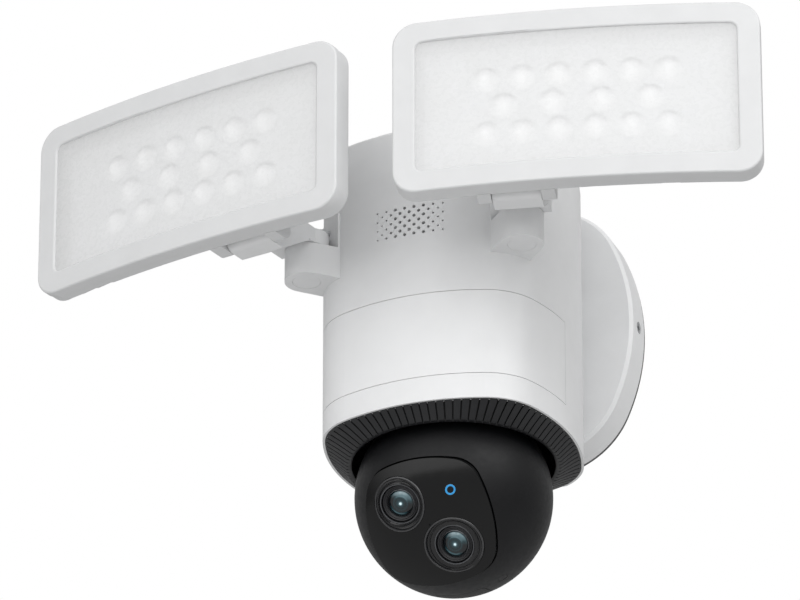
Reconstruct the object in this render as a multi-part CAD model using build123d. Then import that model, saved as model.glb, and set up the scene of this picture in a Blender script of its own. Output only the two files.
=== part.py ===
"""Wall-mounted floodlight security camera: a fixed housing on a wall cover, a
panning and tilting two-lens ball under it, and two swivelling LED lamps.

Millimetres. The origin is the centre of the mounting strap on the wall plane,
+Y points into the wall, +X to the right of someone facing the camera, +Z up.
"""

import os
from math import asin, atan2, cos, degrees, hypot, pi, radians, sin, sqrt, tan

from build123d import *

os.makedirs("parts", exist_ok=True)

# ------------------------------------------------------------ driving sizes
# Main housing: an upright squircle tube, closed on top, open below.
HOUSING_HALF = 51.4
HOUSING_SIDE_R = 87.0
HOUSING_CORNER_R = 26.4
HOUSING_HEIGHT = 126.5
HOUSING_WALL = 2.5
HOUSING_TOP = 3.0
HOUSING_TOP_ROUND = 1.5
HOUSING_REAR_WALL = 3.0
AXIS_TO_WALL = 61.7
RIM_BELOW_ORIGIN = 72.0

# Wall cover: a shallow squircle cup that hides the junction box.
COVER_HALF = 63.2
COVER_SIDE_R = 89.5
COVER_CORNER_R = 36.6
COVER_DEPTH = 17.1
COVER_WALL = 2.6
COVER_BEVEL = 1.4
GASKET_THICK = 2.0
GASKET_WIDTH = 5.0
GASKET_INSET = 0.4

# Steel strap that screws to a junction box.
STRAP_WIDTH = 26.0
STRAP_THICK = 2.0
STRAP_TAB = 11.0
BOX_SCREW_SPACING = 88.9
BOX_SLOT_LENGTH = 14.0
BOX_SLOT_R = 2.4
SIDE_SCREW_Y = -8.6
SIDE_SCREW_R = 1.9
SIDE_SCREW_HEAD_R = 2.6
SIDE_SCREW_SINK = 1.4

# Opening behind the housing, its cover and the lead grommet.
REAR_OPENING_W = 42.0
REAR_OPENING_H = 98.0
REAR_OPENING_BELOW = 4.5
REAR_FLANGE = 3.0
REAR_FLANGE_DEPTH = 1.5
LEAD_HOLE_R = 4.0
GROMMET_BODY_R = 6.5
GROMMET_FLANGE_R = 8.5
GROMMET_FLANGE = 1.5
LEAD_HOLE_DROP = 24.0
COVER_SCREW_EDGE = 5.0
COVER_SCREW_Z = 30.0

# Motion-sensor window, wrapped round the front of the housing.
WINDOW_LOW = 10.9
WINDOW_HIGH = 48.9
WINDOW_DEPTH = 1.2
WINDOW_GAP = 0.25
WINDOW_REAR = -6.0
SENSOR_R = 4.6
SENSOR_LONG = 6.0
SENSOR_HEIGHT = 40.0
SENSOR_TURN = 55.0

# Speaker grille: staggered columns of small holes.
GRILLE_HEIGHT = 83.4
GRILLE_COLUMNS = 15
GRILLE_PITCH_X = 2.05
GRILLE_PITCH_Z = 4.08
GRILLE_HOLE_R = 0.72
GRILLE_EDGE_HOLES = (0.4, 0.4, 0.5, 0.6)
SPEAKER_R = 15.0
SPEAKER_DEPTH = 8.0

# Circuit boards in the housing, measured along Y from its axis.
LOGIC_BOARD_Y = -22.0
SUPPLY_BOARD_Y = 12.0
BOARD_THICK = 1.6

# Ribbed ring round the mouth of the housing.
RING_INSET = 1.0
RING_DROP = 5.6
MOUTH_R = 41.9
MOUTH_LIP_R = 44.2
RING_SPIGOT = 7.0
RING_SPIGOT_WALL = 2.0
THROAT_R = 43.1
THROAT_WALL = 1.3
RING_LUG_TURNS = (-90, 0, 180)
RING_LUG_W = 9.0
RING_LUG_H = 3.0
RING_LUG_OUT = 0.9

# Ball and its pan and tilt axes.
BALL_R = 40.7
BALL_WALL = 2.0
BALL_DROP = 20.2
REST_TILT = 39.7
TILT_UP = 52.0
TILT_DOWN = 50.0
SHELL_SPLIT = -9.0
SLOT_HALF = 7.5
STEM_NECK_R = 5.8

# Turntable above the ball.
DECK_ABOVE_RIM = 23.5
DECK_THICK = 4.0
DECK_SCREW_AT = 32.5
LEDGE_W = 4.0
LEDGE_H = 3.0
STEM_R = 8.0
STEM_BORE_R = 3.5
BUSH_WALL = 2.0
BUSH_STAND = 1.0
COLLAR_R = 12.0
COLLAR_H = 1.8
PAN_MODULE = 0.8
PAN_TEETH = 56
PAN_PINION_TEETH = 14
PAN_GEAR_THICK = 4.0
PAN_MOTOR_R = 12.0
PAN_MOTOR_LONG = 15.0
MOTOR_SHAFT_R = 1.5
MOUNT_GAP = 0.8
MOUNT_THICK = 1.5

# Yoke inside the ball.
YOKE_ARM_IN = 22.6
YOKE_ARM_THICK = 3.8
YOKE_ARM_HALF = 5.0
YOKE_BAR_LOW = 20.0
YOKE_BAR_HIGH = 24.4
TRUNNION_R = 3.0
TILT_MODULE = 0.6
TILT_TEETH = 42
TILT_PINION_TEETH = 14
TILT_GEAR_THICK = 3.0
TILT_MOTOR_R = 6.8
TILT_MOTOR_LONG = 20.0
TILT_MOTOR_BACK = 40.0
SHROUD_LAP = 0.9
SHROUD_WALL = 1.2
SHROUD_FRONT = 20.0
SHROUD_OVER = 4.0

# Face panel with its two lenses and the ring light.
PANEL_HALF = 26.8
PANEL_SIDE_R = 49.0
PANEL_CORNER_R = 13.5
PANEL_SHIFT = (-1.2, -0.6)
PANEL_DOME_R = 60.0
PANEL_APEX = 38.5
PANEL_BACK = 25.6
PANEL_GAP = 0.35
PANEL_SEAT = 2.4
LENS_WIDE = (-11.0, 9.6, 11.3)
LENS_TELE = (7.8, -10.6, 12.1)
BEZEL_PROUD = 0.4
BEZEL_RING_R = 8.1
BEZEL_STEP = 1.6
BARREL_R = 7.5
BARREL_WALL = 2.3
BARREL_BACK = 8.0
GLASS_DEPTH = 2.2
GLASS_THICK = 2.5
LIGHT_AT = (11.7, 12.3)
LIGHT_OUT_R = 2.2
LIGHT_IN_R = 1.2
LIGHT_DEEP = 2.0
CAMERA_BOARD_HALF = 15.2
CAMERA_BOARD_THICK = 1.6

# Card cover and reset button under the ball.
CARD_COVER_DOWN = 70.0
CARD_COVER_W = 21.0
CARD_COVER_L = 14.0
CARD_COVER_GAP = 0.3
CARD_COVER_CORNER = 1.8
CARD_PRONG_THICK = 1.4
CARD_PRONG_W = 5.0
CARD_PRONG_DEEP = 4.0
BUTTON_DOWN = 62.0
BUTTON_SIDE = 27.0
BUTTON_R = 2.0

# Lamp brackets on the front corners of the housing.
BRACKET_X = 47.1
BRACKET_Y = -46.2
BRACKET_R = 9.1
BRACKET_LOW = 66.0
BRACKET_HIGH = 80.0
BRACKET_BACK_HIGH = 96.0
BRACKET_BACK_FROM = 10.0
BRACKET_TURN = 45.0
CAP_R = 5.8
CAP_THICK = 1.5
POST_R = 4.6
POST_FLANGE_R = 5.2
POST_FLANGE_H = 1.8
POST_SLIT = 1.2
POCKET_DEEP = 5.0

# Lamps.
LAMP_TOE = 13.2
LAMP_W = 150.0
LAMP_H = 77.9
LAMP_DEPTH = 10.8
LAMP_CORNER_R = 10.0
LAMP_BOW = 5.0
LAMP_SHELL_WALL = 2.0
LAMP_FRAME_DEPTH = 4.2
LAMP_BORDER = 9.5
WINDOW_CORNER_R = 3.0
DIFFUSER_THICK = 1.6
DIFFUSER_SINK = 0.7
LAMP_X = 85.2
LAMP_Y = -85.9
LAMP_LOW = 67.6
LED_BOARD_THICK = 1.2
LED_ROWS = (6, 4, 6)
LED_PITCH_OUTER = 15.1
LED_PITCH_MIDDLE = 20.2
LED_ROW_PITCH = 12.5
LED_LENS_R = 6.0
LED_LENS_H = 3.4
LED_THICK = 0.5
LAMP_FRONT_ROUND = 0.9
LAMP_REAR_ROUND = 1.8
HINGE_BACK = 6.2
HINGE_UP = 4.5
HINGE_OUT = 2.4
HINGE_BARREL_R = 4.4
HINGE_BARREL_W = 20.0
HINGE_LUG_W = 5.6
HINGE_PIN_R = 2.0
KNUCKLE_THICK = 6.5

# Clearances.
RUN = 0.05
SIDE_PLAY = 0.25
FIT = 0.1
LOOSE = 0.4
SCREW_R = 1.4

# ------------------------------------------------------------ worked out
AXIS_Y = -AXIS_TO_WALL
RIM_Z = -RIM_BELOW_ORIGIN
HOUSING_BACK = -COVER_DEPTH
REAR_INSIDE = HOUSING_BACK - HOUSING_REAR_WALL
BALL_Z = RIM_Z - BALL_DROP
SHELL_IN_R = BALL_R - BALL_WALL
SHROUD_OUT_R = SHELL_IN_R - LOOSE
SHROUD_IN_R = SHROUD_OUT_R - SHROUD_WALL
PAN_CENTRES = PAN_MODULE * (PAN_TEETH + PAN_PINION_TEETH) / 2
TILT_CENTRES = TILT_MODULE * (TILT_TEETH + TILT_PINION_TEETH) / 2
LAMP_FRONT_R = (LAMP_W**2 / 4 + LAMP_BOW**2) / (2 * LAMP_BOW)

UP = Vector(0, 0, 1)
TO_SIDE = Location(Plane.YZ)


# ------------------------------------------------------------ helpers
def save(name, *solids):
    """Write one node: a single solid, or a group of separate equal pieces."""
    shapes = []
    for shape in solids:
        shapes += shape.solids()
    whole = shapes[0] if len(shapes) == 1 else Compound(shapes)
    export_step(whole, f"parts/{name}.step")


def squircle(half, side_r, corner_r):
    """A rounded-square face: four long side arcs and four tangent corner arcs."""
    lag = side_r - half
    reach = side_r - corner_r
    centre = (sqrt(2 * reach**2 - lag**2) - lag) / 2
    far = (centre + lag) * side_r / reach - lag
    near = centre * side_r / reach
    tip = centre + corner_r / sqrt(2)
    edges = []
    for quarter in range(4):
        turn = Rot(0, 0, 90 * quarter)
        edges.append(turn * ThreePointArc((far, -near), (half, 0), (far, near)))
        edges.append(turn * ThreePointArc((far, near), (tip, tip), (near, far)))
    return Face(Wire(edges))


def column(face, low, high):
    """Extrude a face of the XY plane between two heights."""
    return Pos(0, 0, low) * extrude(face, high - low, dir=UP)


def tube(outer_r, inner_r, low, high):
    """A plain tube on the Z axis."""
    return column(Circle(outer_r) - Circle(inner_r), low, high)


def rod(radius, low, high):
    """A plain cylinder on the Z axis."""
    return column(Circle(radius), low, high)


def block(x0, x1, y0, y1, z0, z1):
    """A box given by its limits."""
    centre = Pos((x0 + x1) / 2, (y0 + y1) / 2, (z0 + z1) / 2)
    return centre * Box(x1 - x0, y1 - y0, z1 - z0)


def along_x(shape):
    """Turn a shape built on +Z so that it lies along +X."""
    return Rot(0, 90, 0) * shape


def along_y(shape):
    """Turn a shape built on +Z so that it lies along -Y, out of the wall."""
    return Rot(90, 0, 0) * shape


def screw(head_r, head_h, length, shank_r=SCREW_R):
    """A pan-head screw on the Z axis: shank down from 0, head up, cross slot."""
    body = rod(head_r, 0, head_h) + rod(shank_r, -length, 0)
    for turn in (0, 90):
        slot = Box(head_r * 1.1, 0.7, head_h)
        body -= Pos(0, 0, head_h) * Rot(0, 0, turn) * slot
    return body


def gear(teeth, module, thick, tooth_at=0.0):
    """A spur gear on the Z axis with involute flanks and one tooth at tooth_at degrees."""
    pitch_r = module * teeth / 2
    base_r = pitch_r * cos(radians(20))
    tip_r = pitch_r + 0.8 * module
    root_r = pitch_r - 1.15 * module
    start_r = max(base_r, root_r)
    half_tooth = pi / (2 * teeth) - 0.07 * module / pitch_r
    pressure = tan(radians(20)) - radians(20)

    def flank(radius):
        """Half the tooth's angle at a radius."""
        bend = sqrt(max((radius / base_r) ** 2 - 1, 0))
        return half_tooth + pressure - (bend - atan2(bend, 1))

    def at(radius, angle):
        return (radius * cos(angle), radius * sin(angle))

    radii = [start_r + (tip_r - start_r) * i / 4 for i in range(5)]
    points = []
    for tooth in range(teeth):
        middle = radians(tooth_at) + 2 * pi * tooth / teeth
        points.append(at(root_r, middle - flank(start_r)))
        points += [at(r, middle - flank(r)) for r in radii if r > root_r]
        points += [at(r, middle + flank(r)) for r in reversed(radii) if r > root_r]
        points.append(at(root_r, middle + flank(start_r)))
    return extrude(make_face(Polyline(points, close=True)), thick, dir=UP)


def shell_ball(outer_r, inner_r):
    """A hollow sphere at the origin."""
    return Sphere(outer_r) - Sphere(inner_r)


# ------------------------------------------------------------ placements
HOUSING_AT = Pos(0, AXIS_Y, RIM_Z)
YOKE_AT = Pos(0, AXIS_Y, BALL_Z)
DOWN = radians(REST_TILT)
BALL_AT = Location(
    Plane(
        origin=(0, AXIS_Y, BALL_Z),
        x_dir=(1, 0, 0),
        z_dir=(0, -cos(DOWN), -sin(DOWN)),
    )
)


def housing_plan(inset):
    """The housing's plan, moved inwards by inset."""
    return squircle(
        HOUSING_HALF - inset, HOUSING_SIDE_R - inset, HOUSING_CORNER_R - inset
    )


def behind(plane_y):
    """Everything nearer the wall than a plane, in housing coordinates."""
    limit = plane_y + AXIS_TO_WALL
    return block(-100, 100, limit, limit + 100, -100, 300)


def side_plan(half, side_r, corner_r, low_y, high_y):
    """A squircle block standing on the wall, between two distances along Y."""
    face = squircle(half, side_r, corner_r)
    return Pos(0, high_y, 0) * along_y(extrude(face, high_y - low_y, dir=UP))


# ------------------------------------------------------------ wall side
def wall_cover():
    """Cup with a bevelled front edge, open to the wall."""
    front = -COVER_DEPTH
    flat = COVER_DEPTH - GASKET_THICK
    body = extrude(squircle(COVER_HALF, COVER_SIDE_R, COVER_CORNER_R), flat, dir=UP)
    rim = body.edges().group_by(Axis.Z)[-1]
    body = chamfer(rim, COVER_BEVEL)
    body = Pos(0, -GASKET_THICK, 0) * along_y(body)
    w = COVER_WALL
    body -= side_plan(
        COVER_HALF - w, COVER_SIDE_R - w, COVER_CORNER_R - w, front + w, 1
    )
    hole = along_y(rod(GROMMET_BODY_R + FIT, -1, COVER_DEPTH + 1))
    body -= Pos(0, 0, -LEAD_HOLE_DROP) * hole
    for x, z in cover_screw_places():
        body -= Pos(x, 0, z) * along_y(rod(SCREW_R + RUN, 0, COVER_DEPTH + 1))
    for side in (1, -1):
        pocket = rod(SIDE_SCREW_HEAD_R + FIT, COVER_HALF - SIDE_SCREW_SINK, COVER_HALF + 2)
        pocket += rod(SIDE_SCREW_R + FIT, COVER_HALF - 6, COVER_HALF)
        body -= Pos(0, SIDE_SCREW_Y, 0) * Rot(0, 90 * side, 0) * pocket
    return body


def cover_screw_places():
    """Screws that hold the housing's rear cover to the wall cover."""
    x = REAR_OPENING_W / 2 - COVER_SCREW_EDGE
    low = -COVER_SCREW_Z - 2 * REAR_OPENING_BELOW
    return [(x, COVER_SCREW_Z), (-x, COVER_SCREW_Z), (x, low), (-x, low)]


def wall_gasket():
    """Soft ring between the cover and the wall."""
    ring = None
    for inset in (GASKET_INSET, GASKET_INSET + GASKET_WIDTH):
        solid = side_plan(
            COVER_HALF - inset,
            COVER_SIDE_R - inset,
            COVER_CORNER_R - inset,
            -GASKET_THICK,
            0,
        )
        ring = solid if ring is None else ring - solid
    return ring


def strap_half():
    """Half the strap's length: its corners fit inside the curved gasket."""
    inset = GASKET_INSET + GASKET_WIDTH
    curve = STRAP_WIDTH**2 / (8 * (COVER_SIDE_R - inset))
    return COVER_HALF - inset - curve - LOOSE


def mounting_strap():
    """Bent steel strap: slots for the junction box, tapped tabs for the cover."""
    half = strap_half()
    plate = block(-half, half, -STRAP_THICK, 0, -STRAP_WIDTH / 2, STRAP_WIDTH / 2)
    strap = plate
    for side in (1, -1):
        tab = Box(STRAP_THICK, STRAP_TAB, STRAP_WIDTH * 0.6)
        strap += Pos(side * (half - STRAP_THICK / 2), -STRAP_TAB / 2, 0) * tab
        slot = extrude(SlotOverall(BOX_SLOT_LENGTH, 2 * BOX_SLOT_R), 10, dir=UP)
        strap -= Pos(side * BOX_SCREW_SPACING / 2, 5, 0) * along_y(slot)
        tapped = rod(SIDE_SCREW_R + RUN, half - 5, half + 2)
        strap -= Pos(0, SIDE_SCREW_Y, 0) * Rot(0, 90 * side, 0) * tapped
    for x in (-20, 20):
        strap -= Pos(x, 0, 0) * along_y(rod(SCREW_R + RUN, -5, 5))
    return strap


def ground_screw():
    """Earth screw in the strap."""
    return Pos(20, -STRAP_THICK, 0) * along_y(screw(3.0, 2.0, STRAP_THICK))


def cover_side_screws():
    """Two screws through the cover's sides into the strap's tabs."""
    seat = COVER_HALF - SIDE_SCREW_SINK
    length = seat - strap_half() + STRAP_THICK + 0.6
    at_seat = Pos(0, 0, seat) * screw(SIDE_SCREW_HEAD_R, 1.1, length, SIDE_SCREW_R)
    place = Pos(0, SIDE_SCREW_Y, 0)
    return [place * Rot(0, 90 * side, 0) * at_seat for side in (1, -1)]


# ------------------------------------------------------------ housing
def window_blank(inset, low, high, depth):
    """Band on the front of the housing, between two heights."""
    band = column(housing_plan(0), low, high) - column(
        housing_plan(depth), low - 1, high + 1
    )
    return band - block(-100, 100, WINDOW_REAR - inset, 100, -100, 300)


def around_front(turn, shape):
    """Place a shape built on +Z at the housing's wall, facing a given turn from the front."""
    return Rot(0, 0, turn) * Rot(90, 0, 0) * shape


def wall_distance(turn):
    """How far the housing's outside is from its axis, in a given direction."""
    slope = radians(turn)
    ray = Line((0, 0), (100 * sin(slope), -100 * cos(slope)))
    return (ray & housing_plan(0)).length


def grille_holes(depth, inner):
    """Staggered holes; each column lies square to the curved front wall."""
    cutters = []
    front_centre = HOUSING_HALF - HOUSING_SIDE_R
    middle = (GRILLE_COLUMNS - 1) / 2
    for i in range(GRILLE_COLUMNS):
        from_edge = min(i, GRILLE_COLUMNS - 1 - i)
        edge = from_edge < len(GRILLE_EDGE_HOLES)
        hole_r = GRILLE_EDGE_HOLES[from_edge] if edge else GRILLE_HOLE_R
        count = 4 if i % 2 == 0 else 3
        turn = degrees((i - middle) * GRILLE_PITCH_X / HOUSING_SIDE_R)
        for j in range(count):
            z = GRILLE_HEIGHT + (j - (count - 1) / 2) * GRILLE_PITCH_Z
            hole = rod(hole_r, HOUSING_SIDE_R - inner, HOUSING_SIDE_R + depth)
            spot = Pos(0, -front_centre, z) * Rot(0, 0, turn) * Rot(90, 0, 0)
            cutters.append(spot * hole)
    return cutters


def bracket_screw_places(side):
    """Screws from inside the housing into a lamp bracket, as frames on the wall."""
    places = []
    for z in (BRACKET_LOW + 5, BRACKET_BACK_HIGH - 6):
        places.append(Pos(0, 0, z) * Rot(0, 0, side * BRACKET_TURN) * Rot(90, 0, 0))
    return places


def corner_distance():
    """From the housing's axis to its outside, along a diagonal."""
    lag = HOUSING_SIDE_R - HOUSING_HALF
    reach = HOUSING_SIDE_R - HOUSING_CORNER_R
    centre = (sqrt(2 * reach**2 - lag**2) - lag) / 2
    return centre * sqrt(2) + HOUSING_CORNER_R


def main_housing():
    """Outer shell with ledge, window recess, grille, sensor holes and screw bosses."""
    w = HOUSING_WALL
    shell = column(housing_plan(0), 0, HOUSING_HEIGHT) - behind(HOUSING_BACK)
    shell = fillet(shell.edges().group_by(Axis.Z)[-1], HOUSING_TOP_ROUND)
    cavity = column(housing_plan(w), -1, HOUSING_HEIGHT - HOUSING_TOP)
    shell -= cavity - behind(REAR_INSIDE)
    ledge_low = DECK_ABOVE_RIM + DECK_THICK
    ledge = column(housing_plan(w - 0.5), ledge_low, ledge_low + LEDGE_H)
    ledge -= column(housing_plan(w + LEDGE_W), ledge_low - 1, ledge_low + LEDGE_H + 1)
    ledge -= behind(REAR_INSIDE)
    shell += ledge
    for x, y in deck_screw_places():
        shell += Pos(x, y, 0) * rod(4.0, ledge_low, ledge_low + 10)
        shell -= Pos(x, y, 0) * rod(SCREW_R + RUN, ledge_low - 1, ledge_low + 9)
    shell -= window_blank(0, WINDOW_LOW, WINDOW_HIGH, WINDOW_DEPTH)
    for turn in sensor_turns():
        shell -= Pos(0, 0, SENSOR_HEIGHT) * around_front(turn, rod(SENSOR_R, 35, 60))
    shell -= grille_holes(3, w + 3)
    middle = RIM_BELOW_ORIGIN - REAR_OPENING_BELOW
    opening = Box(REAR_OPENING_W, 20, REAR_OPENING_H)
    rebate = Box(
        REAR_OPENING_W + 2 * REAR_FLANGE,
        2 * REAR_FLANGE_DEPTH,
        REAR_OPENING_H + 2 * REAR_FLANGE,
    )
    rear = HOUSING_BACK + AXIS_TO_WALL
    shell -= Pos(0, rear, middle) * opening
    shell -= Pos(0, rear, middle) * rebate
    for lug in ring_lugs(RING_LUG_OUT + FIT, FIT):
        shell -= lug
    for side in (1, -1):
        reach = corner_distance()
        for place in bracket_screw_places(side):
            shell -= place * rod(SCREW_R + RUN, reach - 8, reach + 5)
        tunnel = rod(2.6, reach - 8, reach + 5)
        mid = (BRACKET_LOW + BRACKET_BACK_HIGH) / 2
        shell -= Pos(0, 0, mid) * Rot(0, 0, side * BRACKET_TURN) * Rot(90, 0, 0) * tunnel
    return HOUSING_AT * shell


def sensor_turns():
    """Directions of the three motion sensors, from the front."""
    return (-SENSOR_TURN, 0.0, SENSOR_TURN)


def rear_cover():
    """Flanged plate that closes the housing's back and carries the grommet."""
    rear = HOUSING_BACK + AXIS_TO_WALL
    mid = RIM_BELOW_ORIGIN - REAR_OPENING_BELOW
    flange_w = REAR_OPENING_W + 2 * REAR_FLANGE - 2 * FIT
    flange_h = REAR_OPENING_H + 2 * REAR_FLANGE - 2 * FIT
    plug_w = REAR_OPENING_W - 2 * FIT
    plug_h = REAR_OPENING_H - 2 * FIT
    plate = block(
        -flange_w / 2, flange_w / 2, rear - REAR_FLANGE_DEPTH, rear,
        mid - flange_h / 2, mid + flange_h / 2,
    )
    plate += block(
        -plug_w / 2, plug_w / 2, rear - HOUSING_REAR_WALL, rear,
        mid - plug_h / 2, mid + plug_h / 2,
    )
    for x, z in cover_screw_places():
        spot = Pos(x, rear, z + RIM_BELOW_ORIGIN)
        plate += spot * along_y(rod(3.6, HOUSING_REAR_WALL - 0.5, 9))
        plate -= spot * along_y(rod(SCREW_R + RUN, -1, 8))
    plate -= Pos(0, rear, RIM_BELOW_ORIGIN - LEAD_HOLE_DROP) * along_y(
        rod(GROMMET_BODY_R + FIT, -5, 20)
    )
    return HOUSING_AT * plate


def housing_screws():
    """Four screws from the wall cover into the rear cover's bosses."""
    length = COVER_WALL + 6.5
    front = -COVER_DEPTH + COVER_WALL
    body = Rot(-90, 0, 0) * screw(2.8, 1.8, length)
    return [Pos(x, front, z) * body for x, z in cover_screw_places()]


def lead_grommet():
    """Rubber grommet with flanges on both sides of the two covers."""
    front = -COVER_DEPTH - HOUSING_REAR_WALL
    rear = -COVER_DEPTH + COVER_WALL
    body = along_y(rod(GROMMET_BODY_R, -rear, -front))
    body += along_y(rod(GROMMET_FLANGE_R, -rear - GROMMET_FLANGE, -rear))
    body += along_y(rod(GROMMET_FLANGE_R, -front, -front + GROMMET_FLANGE))
    body -= along_y(rod(LEAD_HOLE_R, -rear - 10, -front + 10))
    return Pos(0, 0, -LEAD_HOLE_DROP) * body


def motion_window():
    """Thin translucent band in its recess, with a seam gap all round."""
    band = window_blank(
        WINDOW_GAP, WINDOW_LOW + WINDOW_GAP, WINDOW_HIGH - WINDOW_GAP, WINDOW_DEPTH
    )
    return HOUSING_AT * band


def motion_sensors():
    """Three heat sensors in cans, behind the window."""
    cans = []
    for turn in sensor_turns():
        front = wall_distance(turn) - WINDOW_DEPTH - 1.8
        can = rod(SENSOR_R - 0.3, front - SENSOR_LONG, front)
        cans.append(HOUSING_AT * Pos(0, 0, SENSOR_HEIGHT) * around_front(turn, can))
    return cans


def speaker():
    """Round driver behind the grille: frame, cone and magnet in one sealed unit."""
    face = HOUSING_HALF - HOUSING_WALL - 1.4
    unit = rod(SPEAKER_R, face - 3, face) - rod(SPEAKER_R - 2, face - 1.2, face + 1)
    unit += rod(SPEAKER_R * 0.6, face - SPEAKER_DEPTH, face - 3)
    return HOUSING_AT * Pos(0, 0, GRILLE_HEIGHT) * Rot(90, 0, 0) * unit


def main_board():
    """Logic board standing behind the speaker."""
    return HOUSING_AT * block(
        -26, 26, LOGIC_BOARD_Y, LOGIC_BOARD_Y + BOARD_THICK, 58, 116
    )


def board_parts():
    """Chips on the logic board; transformer, capacitor, relay and terminals on the supply board."""
    logic = LOGIC_BOARD_Y
    supply = SUPPLY_BOARD_Y
    parts = [
        block(-9, 9, logic - 2.2, logic, 96, 114),
        block(-22, -12, logic - 1.2, logic, 98, 110),
        block(12, 22, logic - 1.6, logic, 98, 112),
        block(-24, -4, supply - 14, supply, 88, 108),
        Pos(8, supply - 10, 98) * Rot(90, 0, 0) * Cylinder(6, 20),
        block(-22, -8, supply - 10, supply, 68, 82),
        block(4, 20, supply - 9, supply, 66, 78),
        terminal_block(),
    ]
    return [HOUSING_AT * part for part in parts]


def terminal_block():
    """Screw terminals for the supply leads, on the back of the supply board."""
    low = SUPPLY_BOARD_Y + BOARD_THICK
    body = block(-10, 10, low, low + 10, 72, 84)
    for x in (-6, 0, 6):
        body -= Pos(x, low + 5, 84) * rod(2.0, -4, 1)
    return body


def power_board():
    """Mains supply board across the back of the housing."""
    return HOUSING_AT * block(
        -30, 30, SUPPLY_BOARD_Y, SUPPLY_BOARD_Y + BOARD_THICK, 62, 116
    )


# ------------------------------------------------------------ mouth ring
def ring_lugs(out, grow):
    """Snap lugs on the spigot, or their pockets in the housing wall."""
    lugs = []
    inner = HOUSING_HALF - HOUSING_WALL
    z = RING_SPIGOT - 1.2 - RING_LUG_H / 2
    for turn in RING_LUG_TURNS:
        lug = Box(2 * out, RING_LUG_W + 2 * grow, RING_LUG_H + 2 * grow)
        lugs.append(Rot(0, 0, turn) * Pos(inner - FIT, 0, z) * lug)
    return lugs


def sloping_skirt():
    """From the squircle at the rim down to the round lip."""
    top = squircle(
        HOUSING_HALF - RING_INSET,
        HOUSING_SIDE_R - RING_INSET,
        HOUSING_CORNER_R - RING_INSET,
    )
    turns = sorted(atan2(v.Y, v.X) for v in top.vertices())
    turns.append(turns[0] + 2 * pi)
    arcs = []
    for a, b in zip(turns, turns[1:]):
        ends = [(MOUTH_LIP_R * cos(t), MOUTH_LIP_R * sin(t)) for t in (a, (a + b) / 2, b)]
        arcs.append(ThreePointArc(*ends))
    bottom = Pos(0, 0, -RING_DROP) * Face(Wire(arcs))
    return loft([bottom, top], ruled=True)


def ribbed_ring():
    """Sloping ring with a spigot and snap lugs above it, and a throat round the ball."""
    body = sloping_skirt()
    spigot_out = HOUSING_WALL + FIT
    spigot_in = spigot_out + RING_SPIGOT_WALL
    spigot = column(housing_plan(spigot_out), 0, RING_SPIGOT)
    body += spigot - column(housing_plan(spigot_in), 1.5, RING_SPIGOT + 1)
    for lug in ring_lugs(RING_LUG_OUT, 0):
        body += lug
    throat_top = DECK_ABOVE_RIM - 0.5
    body -= behind(REAR_INSIDE - FIT) & column(housing_plan(0), 0.0, 40)
    body += rod(THROAT_R + THROAT_WALL, -1, throat_top) - behind(REAR_INSIDE - FIT)
    body -= rod(THROAT_R, -0.01, throat_top + 1)
    lip = Cone(MOUTH_R, THROAT_R, RING_DROP)
    body -= Pos(0, 0, -RING_DROP / 2) * lip
    return HOUSING_AT * body


# ------------------------------------------------------------ pan drive
def deck_screw_places():
    """Four screws hold the deck under the housing's ledge."""
    a = DECK_SCREW_AT
    return [(a, a), (-a, a), (a, -a), (-a, -a)]


def pan_deck():
    """Deck across the housing that carries the bush and the pan motor."""
    plate = column(housing_plan(HOUSING_WALL + 0.3), 0, DECK_THICK)
    plate -= behind(REAR_INSIDE - 0.3)
    plate -= rod(STEM_R + BUSH_WALL + FIT / 5, -1, DECK_THICK + 1)
    for x, y in deck_screw_places():
        plate -= Pos(x, y, 0) * rod(SCREW_R + RUN, -1, DECK_THICK + 1)
    plate -= Pos(PAN_CENTRES, 0, 0) * rod(MOTOR_SHAFT_R + LOOSE, -1, DECK_THICK + 1)
    return HOUSING_AT * Pos(0, 0, DECK_ABOVE_RIM) * plate


def deck_screws():
    """Four screws from below into the ledge bosses."""
    body = Rot(180, 0, 0) * screw(2.2, 0.4, DECK_THICK + 7)
    return [
        HOUSING_AT * Pos(x, y, DECK_ABOVE_RIM) * body for x, y in deck_screw_places()
    ]


def pan_bush():
    """Plain bush in the deck, flush below and standing a little proud above."""
    low = DECK_ABOVE_RIM
    return HOUSING_AT * tube(
        STEM_R + BUSH_WALL, STEM_R + RUN, low, low + DECK_THICK + BUSH_STAND
    )


def pan_gear_low():
    """Height of the pan gear's underside above the rim."""
    return DECK_ABOVE_RIM + DECK_THICK + BUSH_STAND + SIDE_PLAY


def pan_gear():
    """Large gear keyed on the stem's top."""
    wheel = gear(PAN_TEETH, PAN_MODULE, PAN_GEAR_THICK)
    wheel -= rod(STEM_R + FIT / 5, -1, PAN_GEAR_THICK + 1)
    for turn in range(0, 360, 60):
        wheel -= Rot(0, 0, turn) * Pos(14.6, 0, 0) * rod(3.4, -1, PAN_GEAR_THICK + 1)
    return HOUSING_AT * Pos(0, 0, pan_gear_low()) * wheel


def pan_pinion():
    """Pinion and its shaft, which runs in the motor above it."""
    tooth_at = 180 + 180 / PAN_PINION_TEETH
    wheel = gear(PAN_PINION_TEETH, PAN_MODULE, PAN_GEAR_THICK, tooth_at)
    wheel += rod(MOTOR_SHAFT_R, -2.0, PAN_GEAR_THICK + MOUNT_GAP + MOUNT_THICK + 7)
    return HOUSING_AT * Pos(PAN_CENTRES, 0, pan_gear_low()) * wheel


def pan_motor():
    """Stepper motor on its mounting plate, over the gear."""
    low = mount_low() + MOUNT_THICK
    body = rod(PAN_MOTOR_R, low, low + PAN_MOTOR_LONG)
    body -= rod(MOTOR_SHAFT_R + RUN, low - 1, low + 7.5)
    return HOUSING_AT * Pos(PAN_CENTRES, 0, 0) * body


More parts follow.
